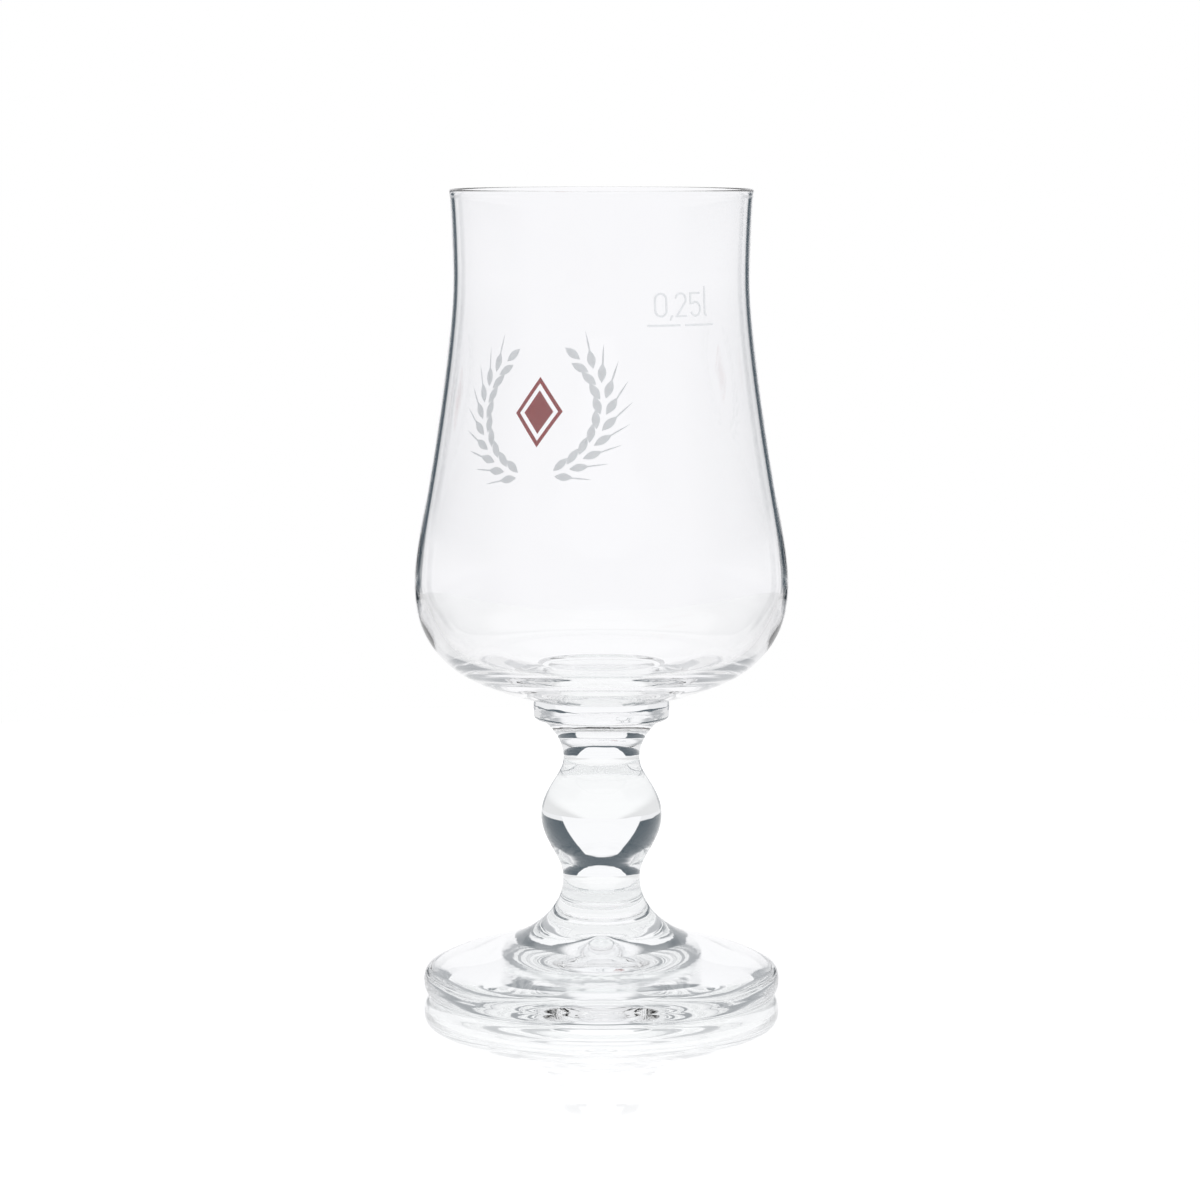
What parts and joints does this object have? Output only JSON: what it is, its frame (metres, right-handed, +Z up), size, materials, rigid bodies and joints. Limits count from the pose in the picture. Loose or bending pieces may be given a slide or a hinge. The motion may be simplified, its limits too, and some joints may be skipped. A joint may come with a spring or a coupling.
{
  "type": "pilsner glass",
  "caption": "Stemmed pilsner glass: a thin tulip bowl with a flared lip and rounded belly, on a short stem with a ball knop and a broad hollow-bottomed foot.",
  "frame": {"origin": "centre of the circle that the foot stands on", "axes": "+Z up along the glass's axis; -Y is the front, with the filling mark a little to its right"},
  "size_m": [0.0767, 0.0766, 0.166],
  "materials": {
    "foot_glass": "clear pressed glass",
    "stem_glass": "clear pressed glass",
    "collar_glass": "clear glass",
    "bowl_glass": "clear blown glass, fire-polished lip",
    "mark_enamel": "fired pale grey enamel",
    "grey_enamel": "fired grey enamel",
    "red_enamel": "fired dark red enamel"
  },
  "bodies": {
    "root": {"foot": "foot_glass", "stem_knop": "stem_glass", "stem_collar": "collar_glass", "bowl": "bowl_glass", "fill_line": "mark_enamel", "volume_numerals": "mark_enamel", "wreath_print": "grey_enamel", "lozenge_print": "red_enamel"}
  },
  "joints": []
}
